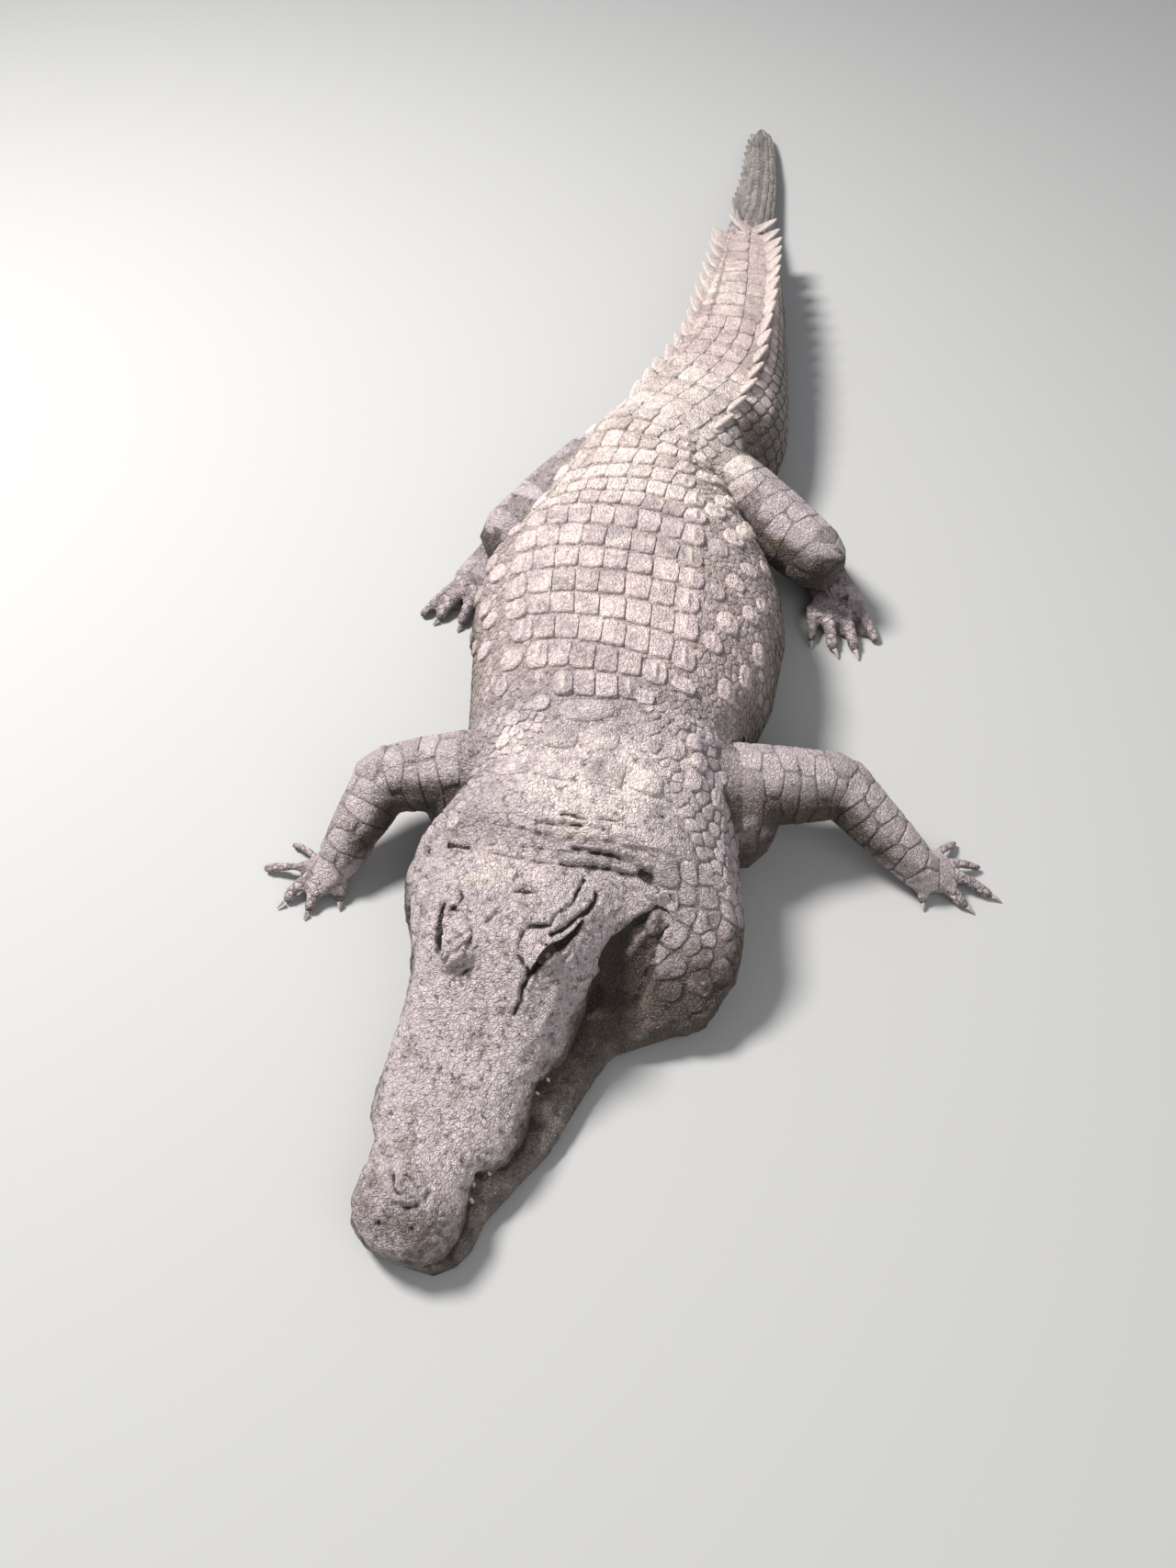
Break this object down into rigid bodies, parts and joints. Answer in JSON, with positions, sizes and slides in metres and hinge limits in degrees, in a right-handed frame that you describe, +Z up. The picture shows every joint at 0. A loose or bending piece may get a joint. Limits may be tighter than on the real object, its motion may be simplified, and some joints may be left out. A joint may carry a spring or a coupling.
{
  "type": "crocodile figure",
  "caption": "Life-size crocodile figure lying flat on its belly with its mouth closed, legs spread and tail nearly straight.",
  "frame": {"origin": "on the floor under the middle of the belly, half way between the front and the hind legs", "axes": "+X to the crocodile's left, +Y from the head toward the tail, +Z up"},
  "size_m": [1.1062, 3.1061, 0.2778],
  "materials": {
    "head_hide": "dusty mauve-grey hide, dry and pitted",
    "jaw_hide": "olive-brown hide of the lower jaw",
    "back_hide": "pinkish-cream hide with dried mud between the scales",
    "tail_hide": "dusty rose and brown hide, darker toward the tip",
    "limb_hide": "mauve-grey hide with large smooth scales",
    "eye": "dark glossy eye between nearly closed lids",
    "claw_horn": "light grey-beige horn"
  },
  "bodies": {
    "root": {"head_upper": "head_hide", "lower_jaw": "jaw_hide", "eye_left": "eye", "eye_right": "eye", "neck": "back_hide", "trunk_front": "back_hide", "trunk_middle": "back_hide", "trunk_rear": "back_hide", "tail_base": "tail_hide", "tail_second": "tail_hide", "tail_third": "tail_hide", "tail_fourth": "tail_hide", "tail_fifth": "tail_hide", "tail_end": "tail_hide", "upper_arm_left": "limb_hide", "forearm_left": "limb_hide", "hand_left": "limb_hide", "claw_front_left_1": "claw_horn", "claw_front_left_2": "claw_horn", "claw_front_left_3": "claw_horn", "upper_arm_right": "limb_hide", "forearm_right": "limb_hide", "hand_right": "limb_hide", "claw_front_right_1": "claw_horn", "claw_front_right_2": "claw_horn", "claw_front_right_3": "claw_horn", "thigh_left": "limb_hide", "shank_left": "limb_hide", "foot_left": "limb_hide", "claw_hind_left_1": "claw_horn", "claw_hind_left_2": "claw_horn", "claw_hind_left_3": "claw_horn", "thigh_right": "limb_hide", "shank_right": "limb_hide", "foot_right": "limb_hide", "claw_hind_right_1": "claw_horn", "claw_hind_right_2": "claw_horn", "claw_hind_right_3": "claw_horn"}
  },
  "joints": []
}
